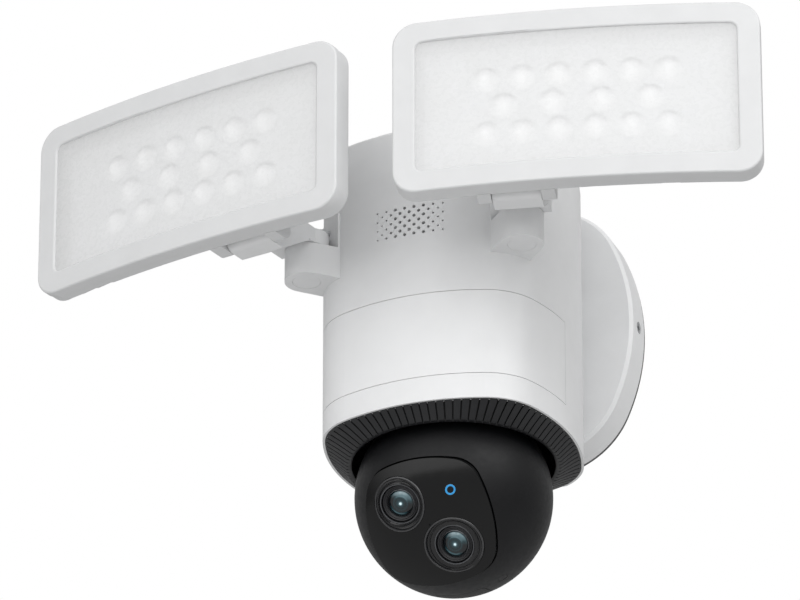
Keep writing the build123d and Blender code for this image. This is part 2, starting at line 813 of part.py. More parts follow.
def mount_low():
    """Height of the motor plate's underside above the rim."""
    return pan_gear_low() + PAN_GEAR_THICK + MOUNT_GAP


def pan_motor_mount():
    """Plate on two posts that carries the pan motor over the gear."""
    low = mount_low()
    deck = DECK_ABOVE_RIM + DECK_THICK
    reach = PAN_MOTOR_R + 4.5
    plate = block(PAN_CENTRES - 9, PAN_CENTRES + 9, -reach - 3, reach + 3, low, low + MOUNT_THICK)
    plate -= Pos(PAN_CENTRES, 0, 0) * rod(MOTOR_SHAFT_R + LOOSE, low - 1, low + 3)
    for side in (1, -1):
        plate += Pos(PAN_CENTRES + 2, side * reach, 0) * rod(2.5, deck, low + 0.5)
    return HOUSING_AT * plate


# ------------------------------------------------------------ yoke in the ball
def tilt_yoke():
    """Hollow stem, cross bar, two arms with trunnion holes and the motor plate."""
    to_ball = BALL_DROP
    collar_top = DECK_ABOVE_RIM - SIDE_PLAY + to_ball
    stem_top = pan_gear_low() + PAN_GEAR_THICK + 3.0 + to_ball
    body = rod(COLLAR_R, collar_top - COLLAR_H, collar_top)
    body += rod(STEM_R, collar_top, stem_top)
    body += rod(STEM_NECK_R, YOKE_BAR_LOW, collar_top - COLLAR_H)
    arm_out = YOKE_ARM_IN + YOKE_ARM_THICK
    half = YOKE_ARM_HALF
    body += block(-arm_out, arm_out, -half, half, YOKE_BAR_LOW, YOKE_BAR_HIGH)
    for side in (1, -1):
        low, high = sorted((side * YOKE_ARM_IN, side * arm_out))
        body += block(low, high, -half, half, 0, YOKE_BAR_HIGH)
        eye = along_x(rod(half, low, high))
        body += eye
        body -= along_x(rod(TRUNNION_R + RUN, low - 1, high + 1))
    plate_x = tilt_motor_face()
    y, z = tilt_motor_place()
    lug = along_x(rod(TILT_MOTOR_R + 1, plate_x - 1.5, plate_x))
    body += Pos(0, y, z) * lug
    body += block(plate_x - 1.5, plate_x, 0, y + 2, z, YOKE_BAR_HIGH)
    body -= Pos(0, y, z) * along_x(rod(MOTOR_SHAFT_R + 0.6, plate_x - 3, plate_x + 3))
    body -= rod(STEM_BORE_R, YOKE_BAR_LOW - 1, stem_top + 1)
    return YOKE_AT * body


def tilt_motor_face():
    """Where the motor's front face stands, beside the tilt gear."""
    return YOKE_ARM_IN - 0.6 - TILT_GEAR_THICK - 0.8


def tilt_motor_place():
    """The motor's axis in the yoke, behind the stem."""
    back = radians(TILT_MOTOR_BACK)
    return (TILT_CENTRES * sin(back), TILT_CENTRES * cos(back))


def tilt_gear():
    """Gear fixed on the right trunnion, turning with the ball."""
    low = YOKE_ARM_IN - 0.6 - TILT_GEAR_THICK
    wheel = gear(TILT_TEETH, TILT_MODULE, TILT_GEAR_THICK, 0)
    wheel -= rod(TRUNNION_R + FIT / 5, -1, TILT_GEAR_THICK + 1)
    turn = Rot(-TILT_MOTOR_BACK, 0, 0)
    return YOKE_AT * turn * Pos(low, 0, 0) * along_x(Rot(0, 0, 180) * wheel)


def tilt_pinion():
    """Pinion and its shaft, which runs in the tilt motor."""
    low = YOKE_ARM_IN - 0.6 - TILT_GEAR_THICK
    wheel = gear(TILT_PINION_TEETH, TILT_MODULE, TILT_GEAR_THICK, 180 / TILT_PINION_TEETH)
    wheel += rod(MOTOR_SHAFT_R, -9, TILT_GEAR_THICK)
    y, z = tilt_motor_place()
    turn = Rot(-TILT_MOTOR_BACK, 0, 0)
    return YOKE_AT * Pos(low, y, z) * turn * along_x(wheel)


def tilt_motor():
    """Small stepper motor clamped to the yoke's plate."""
    face = tilt_motor_face() - 1.5
    body = rod(TILT_MOTOR_R, -TILT_MOTOR_LONG, 0) - rod(MOTOR_SHAFT_R + RUN, -9, 1)
    y, z = tilt_motor_place()
    return YOKE_AT * Pos(face, y, z) * along_x(body)


def trunnion_pins():
    """Left and right pins, fixed in the ball, that the yoke's arms turn on."""
    gear_in = YOKE_ARM_IN - 0.6 - TILT_GEAR_THICK
    outer = SHELL_IN_R - 1.5
    right = along_x(rod(TRUNNION_R, gear_in, outer))
    left = along_x(rod(TRUNNION_R, -outer, -YOKE_ARM_IN + 1.0))
    return [YOKE_AT * right, YOKE_AT * left]


def yoke_shroud():
    """Curved inner shield that closes the ball's slot at every tilt."""
    half = SLOT_HALF + SHROUD_LAP
    rear = slot_end() + TILT_UP - REST_TILT + SHROUD_OVER
    shell = shell_ball(SHROUD_OUT_R, SHROUD_IN_R)
    shell &= block(-half, half, -60, 60, -60, 60)
    shell &= TO_SIDE * fan(90 + SHROUD_FRONT, 180 - rear, 40)
    shell -= rod(STEM_NECK_R + FIT / 5, 20, 50)
    return YOKE_AT * shell


def slot_end():
    """Rear end of the slot in the ball, as an angle up and over from its front."""
    return 90 + REST_TILT + TILT_DOWN + degrees(asin(SLOT_HALF / SHELL_IN_R))


def fan(first, last, half_thick):
    """A wedge round the Z axis between two angles, with straight far edges."""
    steps = 6
    points = [(0, 0)]
    for i in range(steps + 1):
        turn = radians(first + (last - first) * i / steps)
        points.append((80 * cos(turn), 80 * sin(turn)))
    return extrude(make_face(Polyline(points, close=True)), half_thick, both=True)


# ------------------------------------------------------------ ball
def panel_plan(inset):
    """The face panel's outline, moved inwards by inset."""
    outline = squircle(
        PANEL_HALF - inset, PANEL_SIDE_R - inset, PANEL_CORNER_R - inset
    )
    return Pos(*PANEL_SHIFT) * outline


def slot_sweep():
    """The part of the ball's shell that the stem passes through as the ball tilts."""
    first = 90 + REST_TILT - TILT_UP - degrees(asin(SLOT_HALF / SHELL_IN_R))
    wedge = fan(first, slot_end(), SLOT_HALF)
    return Rot(0, -90, 0) * wedge - Sphere(SHROUD_IN_R - 8)


def card_frame():
    """Frame on the card cover's middle, y towards the face, z outwards."""
    return Rot(CARD_COVER_DOWN, 0, 0)


def card_patch(grow):
    """The card cover's outline, as a block with rounded corners through the shell."""
    outline = RectangleRounded(
        CARD_COVER_W + 2 * grow, CARD_COVER_L + 2 * grow, CARD_COVER_CORNER + grow
    )
    return card_frame() * column(outline, SHELL_IN_R - 6, BALL_R + 6)






def card_cover():
    """Curved plug flush with the ball, with two snap prongs inside."""
    door = shell_ball(BALL_R, SHELL_IN_R) & card_patch(0)
    outer = CARD_COVER_W / 2
    inner = outer - CARD_PRONG_THICK
    low = SHELL_IN_R - CARD_PRONG_DEEP
    wide = CARD_PRONG_W / 2
    for side in (1, -1):
        a, b = sorted((side * inner, side * outer))
        door += card_frame() * block(a, b, -wide, wide, low, SHELL_IN_R)
    return BALL_AT * door


def card_socket():
    """Metal card socket behind the cover, its mouth towards it."""
    body = Box(14.0, 2.6, 12.0) - Pos(0, 0, 2) * Box(11.2, 1.1, 12.0)
    return BALL_AT * card_frame() * Pos(0, 2.0, SHROUD_IN_R - 0.8 - 6.0) * body


def button_frame():
    """Frame on the reset button's middle, z outwards."""
    return Rot(BUTTON_DOWN, 0, 0) * Rot(0, BUTTON_SIDE, 0)


def reset_button():
    """Small round button with a retaining flange inside the shell."""
    head = rod(BUTTON_R, SHELL_IN_R - 0.7, BALL_R + 1) & Sphere(BALL_R - 0.1)
    flange_top = SHELL_IN_R - 0.4
    flange = rod(BUTTON_R + 0.9, flange_top - 1.0, flange_top)
    return BALL_AT * button_frame() * (head + flange)


def ball_shell():
    """The whole hollow ball with its slot and all its openings."""
    body = shell_ball(BALL_R, SHELL_IN_R)
    body -= slot_sweep()
    body -= card_patch(CARD_COVER_GAP)
    body -= button_frame() * rod(BUTTON_R + 0.15, 30, 60)
    return body


def panel_hole(depth):
    """Cutter for the face panel."""
    return column(panel_plan(-PANEL_GAP), depth, 60)


def ball_front_shell():
    """Front of the ball: panel seat, trunnion bosses and openings."""
    body = ball_shell()
    seat = column(panel_plan(-2.0), PANEL_BACK - PANEL_SEAT, PANEL_BACK)
    seat &= Sphere(SHELL_IN_R + 0.5)
    body += seat
    body -= panel_hole(PANEL_BACK)
    body -= column(panel_plan(3.0), 0, 60)
    for side in (1, -1):
        low, high = sorted((side * (YOKE_ARM_IN + YOKE_ARM_THICK + 0.5), side * BALL_R))
        boss = along_x(rod(6.0, low, high)) & Sphere(SHELL_IN_R + 0.3)
        body += boss
        pin_low, pin_high = sorted((side * 20, side * (SHELL_IN_R - 1.4)))
        body -= along_x(rod(TRUNNION_R + FIT / 5, pin_low, pin_high))
    body -= block(-60, 60, -60, 60, -60, SHELL_SPLIT)
    return BALL_AT * body


def ball_rear_shell():
    """Rear of the ball, behind the parting line."""
    body = ball_shell()
    body &= block(-60, 60, -60, 60, -60, SHELL_SPLIT)
    return BALL_AT * body


def face_panel():
    """Domed gloss panel with two lens holes and a groove for the ring light."""
    body = column(panel_plan(0), PANEL_BACK, 60)
    body &= Pos(0, 0, PANEL_APEX - PANEL_DOME_R) * Sphere(PANEL_DOME_R)
    for x, y, r in (LENS_WIDE, LENS_TELE):
        body -= Pos(x, y, 0) * rod(r + FIT, PANEL_BACK - 1, 60)
    light_top = ring_light_top()
    x, y = LIGHT_AT
    groove = tube(LIGHT_OUT_R + RUN, LIGHT_IN_R - RUN, light_top - LIGHT_DEEP, 60)
    body -= Pos(x, y, 0) * groove
    return BALL_AT * body


def ring_light_top():
    """Height of the panel's dome at the ring light."""
    return dome_height(hypot(*LIGHT_AT))


def dome_height(radius):
    """Height of the panel's dome at a distance from its middle."""
    return PANEL_APEX - PANEL_DOME_R + sqrt(PANEL_DOME_R**2 - radius**2)


def lens_bezel(x, y, r):
    """Stepped ring that follows the dome, with a conical mouth."""
    top = dome_height(hypot(x, y))
    low = PANEL_BACK - PANEL_SEAT
    body = Pos(x, y, 0) * rod(r, low, 60)
    body &= Pos(0, 0, PANEL_APEX - PANEL_DOME_R) * Sphere(PANEL_DOME_R + BEZEL_PROUD)
    mouth = Cone(BEZEL_RING_R, r - 0.9, BEZEL_STEP + 3)
    body -= Pos(x, y, top - BEZEL_STEP + (BEZEL_STEP + 3) / 2) * mouth
    body -= Pos(x, y, 0) * rod(BARREL_R + FIT, low - 1, 60)
    return BALL_AT * body


def lens_barrel(x, y):
    """Tube that holds the glass, on the camera board."""
    front = dome_height(hypot(x, y)) - BEZEL_STEP - 0.4
    inner_r = BARREL_R - BARREL_WALL
    body = rod(BARREL_R, BARREL_BACK, front)
    body -= rod(inner_r, front - GLASS_DEPTH - GLASS_THICK, front + 1)
    return BALL_AT * Pos(x, y, 0) * body


def lens_glass(x, y):
    """Domed front element."""
    front = dome_height(hypot(x, y)) - BEZEL_STEP - 0.4
    low = front - GLASS_DEPTH - GLASS_THICK
    inner_r = BARREL_R - BARREL_WALL - RUN
    dome_r = 9.0
    top = front - 0.3
    body = rod(inner_r, low, front + 2) & Pos(0, 0, top - dome_r) * Sphere(dome_r)
    return BALL_AT * Pos(x, y, 0) * body


def status_light():
    """Ring light in the panel."""
    top = ring_light_top()
    x, y = LIGHT_AT
    return BALL_AT * Pos(x, y, 0) * tube(LIGHT_OUT_R, LIGHT_IN_R, top - LIGHT_DEEP, top)


def camera_board():
    """Board behind both lenses."""
    a = CAMERA_BOARD_HALF
    low = BARREL_BACK - CAMERA_BOARD_THICK
    return BALL_AT * block(-a, a, -a, a, low, BARREL_BACK)


# ------------------------------------------------------------ lamp brackets
def bracket_frame(side):
    """Frame on a bracket's pivot: x outwards along the housing's diagonal."""
    return Pos(side * BRACKET_X, BRACKET_Y + AXIS_Y, RIM_Z) * Rot(
        0, 0, -90 + side * BRACKET_TURN
    )


def arm_bracket(side):
    """Bullet-shaped bracket: low round column in front, taller against the housing."""
    r = BRACKET_R
    long = 40.0
    plan = Circle(r) + Pos(-long / 2, 0) * Rectangle(long, 2 * r)
    low = column(plan, BRACKET_LOW, BRACKET_HIGH)
    back = Pos(-BRACKET_BACK_FROM - long / 2, 0) * Rectangle(long, 2 * r)
    high = column(back, BRACKET_HIGH - 1, BRACKET_BACK_HIGH)
    body = low + high
    cap_hole = rod(CAP_R + FIT, BRACKET_LOW - 1, BRACKET_LOW + CAP_THICK)
    body -= cap_hole
    body -= rod(POST_FLANGE_R + LOOSE, BRACKET_LOW, BRACKET_LOW + POCKET_DEEP)
    body -= rod(POST_R + RUN, BRACKET_LOW, BRACKET_HIGH + 1)
    body = bracket_frame(side) * body
    body -= HOUSING_AT * column(housing_plan(0), 0, HOUSING_HEIGHT)
    reach = corner_distance()
    for place in bracket_screw_places(side):
        body -= HOUSING_AT * place * rod(SCREW_R + RUN, reach - 1, reach + 5)
    return body


def bracket_screws():
    """Two screws into each bracket, from inside the housing."""
    reach = corner_distance()
    found = []
    for side in (1, -1):
        for place in bracket_screw_places(side):
            body = Rot(180, 0, 0) * screw(2.6, 1.8, HOUSING_WALL + 4.4)
            seat = Pos(0, 0, reach - HOUSING_WALL - SIDE_PLAY)
            found.append(HOUSING_AT * place * seat * body)
    return found


def pivot_caps():
    """Round caps that close the pivot screws' pockets."""
    cap = rod(CAP_R, BRACKET_LOW + 0.05, BRACKET_LOW + CAP_THICK)
    return [bracket_frame(side) * cap for side in (1, -1)]


# ------------------------------------------------------------ lamps
def lamp_frame_at(side):
    """Frame on the middle of a lamp's lower front edge: x along it, -y out of the front."""
    return Pos(side * LAMP_X, LAMP_Y + AXIS_Y, RIM_Z + LAMP_LOW) * Rot(
        0, 0, side * LAMP_TOE
    )


def pivot_in_lamp(side):
    """The bracket's pivot in the lamp's own frame."""
    dx = side * (BRACKET_X - LAMP_X)
    dy = BRACKET_Y - LAMP_Y
    turn = radians(side * LAMP_TOE)
    return (dx * cos(turn) + dy * sin(turn), -dx * sin(turn) + dy * cos(turn))


def lamp_plan(front, back, width):
    """Plan of a slab with bowed front and back faces, across the lamp's depth."""
    centre_y = LAMP_FRONT_R - LAMP_BOW
    outer_r = LAMP_FRONT_R - front
    inner_r = LAMP_FRONT_R - back
    slab = Circle(outer_r) - Circle(inner_r)
    slab = Pos(0, centre_y) * slab
    return slab & Rectangle(width, 80)


def lamp_slab(front, back, inset, corner_r):
    """Bowed slab with rounded corners, at depths front to back behind the front face."""
    width = LAMP_W - 2 * inset
    height = LAMP_H - 2 * inset
    slab = extrude(lamp_plan(front, back, width + 10), LAMP_H, dir=UP)
    outline = RectangleRounded(width, height, corner_r)
    window = Pos(0, 60, LAMP_H / 2) * along_y(extrude(outline, 120, dir=UP))
    return slab & window


def edges_at_depth(shape, depth):
    """A lamp slab's edges that lie at a depth behind the front face."""
    centre_y = LAMP_FRONT_R - LAMP_BOW
    found = []
    for edge in shape.edges():
        spots = [edge @ share for share in (0.1, 0.5, 0.9)]
        radii = [hypot(spot.X, spot.Y - centre_y) for spot in spots]
        if all(abs(radius - LAMP_FRONT_R + depth) < 0.01 for radius in radii):
            found.append(edge)
    return found


def hinge_spot(side):
    """Where the tilt hinge lies in the lamp's frame."""
    x, _ = pivot_in_lamp(side)
    x += side * HINGE_OUT
    return (x, LAMP_DEPTH - LAMP_BOW + HINGE_BACK, HINGE_UP)


def lamp_rear(side):
    """Rear shell: a bowed tray with two hinge lugs."""
    front = LAMP_FRAME_DEPTH
    tray = lamp_slab(front, LAMP_DEPTH, 0.3, LAMP_CORNER_R - 0.3)
    tray = fillet(edges_at_depth(tray, LAMP_DEPTH), LAMP_REAR_ROUND)
    w = LAMP_SHELL_WALL
    tray -= lamp_slab(front - 1, LAMP_DEPTH - w, 0.3 + w, LAMP_CORNER_R - 0.3 - w)
    x, y, z = hinge_spot(side)
    inner = HINGE_BARREL_W / 2 + SIDE_PLAY
    for way in (1, -1):
        a, b = sorted((x + way * inner, x + way * (inner + HINGE_LUG_W)))
        lug = Pos(0, y, z) * along_x(rod(HINGE_BARREL_R, a, b))
        reach = y - HINGE_BACK - 1.6
        lug += block(a, b, reach, y, z - HINGE_BARREL_R, z + HINGE_BARREL_R)
        lug -= lamp_slab(-5, LAMP_DEPTH - w, -20, 1)
        tray += lug
        low, high = sorted((x + way * (inner - 1), x + way * (inner + HINGE_LUG_W - 0.8)))
        tray -= Pos(0, y, z) * along_x(rod(HINGE_PIN_R + FIT / 5, low, high))
    return lamp_frame_at(side) * tray


def lamp_front_frame(side):
    """Front frame with its window and the step that holds the diffuser."""
    frame = lamp_slab(0, LAMP_FRAME_DEPTH, 0, LAMP_CORNER_R)
    frame -= lamp_slab(-1, LAMP_DEPTH, LAMP_BORDER, WINDOW_CORNER_R)
    frame = fillet(edges_at_depth(frame, 0), LAMP_FRONT_ROUND)
    frame -= lamp_slab(
        DIFFUSER_SINK + 0.001, LAMP_DEPTH, LAMP_BORDER - 2, WINDOW_CORNER_R + 1
    )
    return lamp_frame_at(side) * frame


def diffuser(side):
    """Milky window behind the frame's step."""
    body = lamp_slab(
        DIFFUSER_SINK + 0.02,
        DIFFUSER_SINK + DIFFUSER_THICK,
        LAMP_BORDER - 2 + FIT,
        WINDOW_CORNER_R + 1 - FIT,
    )
    return lamp_frame_at(side) * body


def led_places():
    """LED positions on the lamp's face, from its centre."""
    places = []
    for row, count in enumerate(LED_ROWS):
        pitch = LED_PITCH_MIDDLE if row == 1 else LED_PITCH_OUTER
        z = (1 - row) * LED_ROW_PITCH
        places += [((i - (count - 1) / 2) * pitch, z) for i in range(count)]
    return places


def led_board(side):
    """Aluminium board, bent to the lamp's curve, against the rear shell."""
    back = LAMP_DEPTH - LAMP_SHELL_WALL - 0.3
    board = lamp_slab(back - LED_BOARD_THICK, back, LAMP_BORDER + 3, 2.0)
    return lamp_frame_at(side) * board


def leds(side):
    """Sixteen LEDs on the board, each under a shallow round lens."""
    depth = LAMP_DEPTH - LAMP_SHELL_WALL - 0.3 - LED_BOARD_THICK
    centre_y = LAMP_FRONT_R - LAMP_BOW
    radius = LAMP_FRONT_R - depth + 0.05
    dome_r = (LED_LENS_R**2 + LED_LENS_H**2) / (2 * LED_LENS_H)
    lens = rod(LED_LENS_R, 0, LED_THICK + LED_LENS_H)
    lens &= Pos(0, 0, LED_THICK + LED_LENS_H - dome_r) * Sphere(dome_r)
    lens += rod(LED_LENS_R, 0, LED_THICK)
    found = []
    for x, z in led_places():
        spot = Pos(0, centre_y, LAMP_H / 2 + z) * Rot(0, 0, degrees(x / radius))
        found.append(lamp_frame_at(side) * spot * Pos(0, -radius, 0) * along_y(lens))
    return found


def hinge_pin(side):
    """Tilt pin through the knuckle's barrel, fixed in the lamp's lugs."""
    x, y, z = hinge_spot(side)
    half = HINGE_BARREL_W / 2 + SIDE_PLAY + HINGE_LUG_W - 0.9
    pin = Pos(x, y, z) * along_x(rod(HINGE_PIN_R, -half, half))
    return lamp_frame_at(side) * pin


def lamp_knuckle(side):
    """Swivel knuckle: snap post in the bracket, head, sloping neck and hinge barrel."""
    x, y, z = hinge_spot(side)
    px, py = pivot_in_lamp(side)
    lift = -LAMP_LOW
    base = BRACKET_HIGH + SIDE_PLAY + lift
    top = base + KNUCKLE_THICK
    flange_top = BRACKET_LOW + POCKET_DEEP - SIDE_PLAY + lift
    flange_low = flange_top - POST_FLANGE_H
    post = rod(POST_R, flange_low, base + 1) + rod(POST_FLANGE_R, flange_low, flange_top)
    slit_r = POST_FLANGE_R + 1
    slit = POST_SLIT / 2
    post -= block(-slit_r, slit_r, -slit, slit, flange_low - 1, base - 5)
    body = Pos(px, py, 0) * (rod(BRACKET_R, base, top) + post)
    w = HINGE_BARREL_W
    profile = [
        (y, z - HINGE_BARREL_R),
        (y + 7, z - HINGE_BARREL_R),
        (py - BRACKET_R - LOOSE, base - 1.0),
        (py - BRACKET_R - LOOSE, base),
        (py, base),
        (py, top),
        (y + 3, top),
        (y, top - 2.5),
    ]
    neck = extrude(make_face(Polyline(profile, close=True)), w / 2, both=True)
    body += Pos(x, 0, 0) * TO_SIDE * neck
    body += Pos(0, y, z) * along_x(rod(HINGE_BARREL_R, x - w / 2, x + w / 2))
    body -= Pos(0, y, z) * along_x(rod(HINGE_PIN_R + RUN, x - w, x + w))
    return lamp_frame_at(side) * body


# ------------------------------------------------------------ write every node
save("wall_cover", wall_cover())
save("wall_gasket", wall_gasket())
save("mounting_strap", mounting_strap())
save("ground_screw", ground_screw())
save("cover_side_screws", *cover_side_screws())
save("main_housing", main_housing())
save("rear_cover", rear_cover())
save("housing_screws", *housing_screws())
save("lead_grommet", lead_grommet())
save("motion_window", motion_window())
save("motion_sensors", *motion_sensors())
save("speaker", speaker())
save("main_board", main_board())
save("power_board", power_board())
save("board_parts", *board_parts())
save("ribbed_ring", ribbed_ring())
save("pan_deck", pan_deck())
save("deck_screws", *deck_screws())
save("pan_bush", pan_bush())
save("pan_motor", pan_motor())
save("pan_motor_mount", pan_motor_mount())
save("pan_pinion", pan_pinion())
save("pan_gear", pan_gear())
save("tilt_yoke", tilt_yoke())
save("yoke_shroud", yoke_shroud())
save("tilt_motor", tilt_motor())
save("tilt_pinion", tilt_pinion())
save("tilt_gear", tilt_gear())
save("trunnion_pins", *trunnion_pins())
save("ball_front_shell", ball_front_shell())
save("ball_rear_shell", ball_rear_shell())
save("face_panel", face_panel())
save("wide_lens_bezel", lens_bezel(*LENS_WIDE))
save("tele_lens_bezel", lens_bezel(*LENS_TELE))
save("lens_barrels", lens_barrel(*LENS_WIDE[:2]), lens_barrel(*LENS_TELE[:2]))
save("lens_glasses", lens_glass(*LENS_WIDE[:2]), lens_glass(*LENS_TELE[:2]))
save("status_light", status_light())
save("camera_board", camera_board())
save("card_socket", card_socket())
save("card_cover", card_cover())
save("reset_button", reset_button())
save("bracket_screws", *bracket_screws())
save("pivot_caps", *pivot_caps())
for name, side in (("right", 1), ("left", -1)):
    save(f"{name}_arm_bracket", arm_bracket(side))
    save(f"{name}_lamp_knuckle", lamp_knuckle(side))
    save(f"{name}_hinge_pin", hinge_pin(side))
    save(f"{name}_lamp_rear", lamp_rear(side))
    save(f"{name}_lamp_frame", lamp_front_frame(side))
    save(f"{name}_diffuser", diffuser(side))
    save(f"{name}_led_board", led_board(side))
    save(f"{name}_leds", *leds(side))
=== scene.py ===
"""Looks of the wall-mounted floodlight security camera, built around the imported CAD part."""

from math import atan2, cos, exp, hypot, pi, radians, sin, sqrt

import bpy
from mathutils import Matrix, Vector


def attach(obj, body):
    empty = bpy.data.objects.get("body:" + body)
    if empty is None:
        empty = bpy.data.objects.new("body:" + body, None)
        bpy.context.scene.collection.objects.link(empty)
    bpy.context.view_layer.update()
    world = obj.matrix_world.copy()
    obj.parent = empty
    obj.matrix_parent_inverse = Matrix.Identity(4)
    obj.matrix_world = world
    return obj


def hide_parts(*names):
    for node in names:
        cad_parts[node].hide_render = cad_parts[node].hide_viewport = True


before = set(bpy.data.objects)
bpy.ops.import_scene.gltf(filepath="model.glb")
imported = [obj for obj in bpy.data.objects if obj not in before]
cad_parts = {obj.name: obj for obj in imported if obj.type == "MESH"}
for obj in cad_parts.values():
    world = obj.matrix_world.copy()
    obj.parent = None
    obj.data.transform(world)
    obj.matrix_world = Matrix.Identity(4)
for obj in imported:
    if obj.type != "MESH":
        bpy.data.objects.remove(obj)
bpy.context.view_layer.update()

MM = 0.001

# ------------------------------------------------------------ sizes shared with the CAD, in mm
AXIS_Y = -61.7
RIM_Z = -72.0
BALL_Z = -92.2
REST_TILT = 39.7
HOUSING = (51.4, 87.0, 26.4)
RING_INSET = 1.0
RING_DROP = 5.6
MOUTH_R = 41.9
MOUTH_LIP_R = 44.2
THROAT_R = 43.1
THROAT_WALL = 1.3
THROAT_TOP = 23.0
RIB_SLOTS = 90
SLOT_W = 0.62
SLOT_DEEP = 1.0
SLOT_MEAN_R = 46.0
RING_BACK_Y = 41.5
BARREL_R = 7.45
BARREL_BORE_R = 5.3
BARREL_BACK = -16.0
GLASS_R = 5.25
GLASS_TOP = -2.0
GLASS_SAG = 1.5
GLASS_BACK = -4.6
PANEL_DOME_R = 60.0
PANEL_APEX = 38.5
LENSES = {"wide": (-11.0, 9.6, 11.3), "tele": (7.8, -10.6, 12.1)}
LIGHT_AT = (11.7, 12.3)
LIGHT_OUT_R = 2.2
LIGHT_IN_R = 1.2
LIGHT_DEEP = 1.9
LAMP_TOE = 13.2
LAMP_AT = (85.2, -147.6, -4.4)
LAMP_H = 77.9
LAMP_BOW = 5.0
LAMP_W = 150.0
LED_ROWS = (6, 4, 6)
LED_PITCH_OUTER = 15.1
LED_PITCH_MIDDLE = 20.2
LED_ROW_PITCH = 12.5
LED_BOARD_FRONT = 7.3
LED_LENS_R = 6.0
LED_LENS_H = 3.4
LED_FOOT = 0.05
LED_FOOT_H = 0.35
LAMP_R = (LAMP_W ** 2 / 4 + LAMP_BOW ** 2) / (2 * LAMP_BOW)


# ------------------------------------------------------------ materials
def new_material(name):
    """An empty principled material and its node tree."""
    material = bpy.data.materials.new(name)
    material.use_nodes = True
    tree = material.node_tree
    return material, tree, tree.nodes["Principled BSDF"]


def noise(tree, scale, detail=2.0, roughness=0.55):
    """A noise texture in object space. Scale is in cells per metre."""
    coords = tree.nodes.new("ShaderNodeTexCoord")
    texture = tree.nodes.new("ShaderNodeTexNoise")
    texture.inputs["Scale"].default_value = scale
    texture.inputs["Detail"].default_value = detail
    texture.inputs["Roughness"].default_value = roughness
    tree.links.new(coords.outputs["Object"], texture.inputs["Vector"])
    return texture.outputs["Fac"]


def remap(tree, value, low, high, from_low=0.3, from_high=0.7):
    """A value moved from one range to another."""
    node = tree.nodes.new("ShaderNodeMapRange")
    node.inputs["From Min"].default_value = from_low
    node.inputs["From Max"].default_value = from_high
    node.inputs["To Min"].default_value = low
    node.inputs["To Max"].default_value = high
    tree.links.new(value, node.inputs["Value"])
    return node.outputs["Result"]


def two_colours(tree, factor, first, second):
    """A colour between two, by a factor."""
    node = tree.nodes.new("ShaderNodeMix")
    node.data_type = "RGBA"
    node.inputs["A"].default_value = (*first, 1)
    node.inputs["B"].default_value = (*second, 1)
    tree.links.new(factor, node.inputs["Factor"])
    return node.outputs["Result"]


def look(name, colour, rough, grain=0.5, bump=0.1, mottle=0.03, spread=0.05, **sockets):
    """Moulded or machined surface: cloudy colour, uneven gloss and a fine grain.
    Grain is the size of its pits in mm. Sockets are set as they are."""
    material, tree, shader = new_material(name)
    cloud = remap(tree, noise(tree, 70.0, 3.0), 0.0, 1.0)
    dark = [c * (1 - mottle) for c in colour]
    light = [min(c * (1 + mottle), 1.0) for c in colour]
    tree.links.new(two_colours(tree, cloud, dark, light), shader.inputs["Base Color"])
    uneven = noise(tree, 420.0, 4.0)
    gloss = remap(tree, uneven, max(rough - spread, 0.02), rough + spread)
    tree.links.new(gloss, shader.inputs["Roughness"])
    pits = tree.nodes.new("ShaderNodeBump")
    pits.inputs["Strength"].default_value = bump
    pits.inputs["Distance"].default_value = 0.12 * MM
    tree.links.new(noise(tree, 1000.0 / grain, 2.0), pits.inputs["Height"])
    tree.links.new(pits.outputs["Normal"], shader.inputs["Normal"])
    for socket, value in sockets.items():
        shader.inputs[socket.replace("_", " ")].default_value = value
    return material


WHITE = (0.76, 0.765, 0.77)
# Painted shade: a darker copy of the same white plastic for the lamp frames and backs.
LAMP_SHADED_WHITE = (0.66, 0.665, 0.67)
LOOKS = {
    "white_plastic": look("white_plastic", WHITE, 0.42, 0.55, 0.10, 0.02, IOR=1.48),
    "lamp_plastic": look("lamp_plastic", LAMP_SHADED_WHITE, 0.42, 0.55, 0.10, 0.02, IOR=1.48),
    "window_plastic": look(
        "window_plastic", (0.77, 0.775, 0.78), 0.34, 0.8, 0.05, 0.015, IOR=1.48
    ),
    "black_plastic": look(
        "black_plastic", (0.014, 0.0145, 0.016), 0.44, 0.45, 0.3, 0.12, IOR=1.42
    ),
    "ball_plastic": look(
        "ball_plastic", (0.0045, 0.0047, 0.0055), 0.44, 0.45, 0.12, 0.10,
        IOR=1.40, **{"Specular IOR Level": 0.36}
    ),
    "gloss_black": look(
        "gloss_black", (0.002, 0.0021, 0.0023), 0.16, 2.0, 0.01, 0.2, 0.02, IOR=1.38
    ),
    "bezel": look(
        "bezel", (0.006, 0.006, 0.007), 0.26, 0.6, 0.05, 0.15, 0.05, IOR=1.5
    ),
    "lens_barrel": look("lens_barrel", (0.010, 0.010, 0.012), 0.5, 0.4, 0.2, 0.2),
    "steel": look(
        "steel", (0.56, 0.57, 0.58), 0.3, 0.35, 0.12, 0.08, 0.1, Metallic=1.0
    ),
    "inner_plastic": look("inner_plastic", (0.09, 0.092, 0.096), 0.5, 0.5, 0.15, 0.08),
    "gear": look("gear", (0.62, 0.6, 0.54), 0.45, 0.5, 0.12, 0.05),
    "rubber": look("rubber", (0.022, 0.022, 0.023), 0.7, 0.4, 0.25, 0.15),
    "foam": look("foam", (0.10, 0.10, 0.10), 0.9, 0.7, 0.6, 0.2),
    "speaker": look("speaker", (0.02, 0.02, 0.021), 0.6, 0.6, 0.25, 0.15),
    "board": look("board", (0.012, 0.11, 0.04), 0.35, 0.9, 0.2, 0.2),
    "led_board": look("led_board", (0.86, 0.87, 0.88), 0.45, 0.6, 0.08, 0.02),
    "component": look("component", (0.035, 0.035, 0.038), 0.45, 0.5, 0.15, 0.2),
}


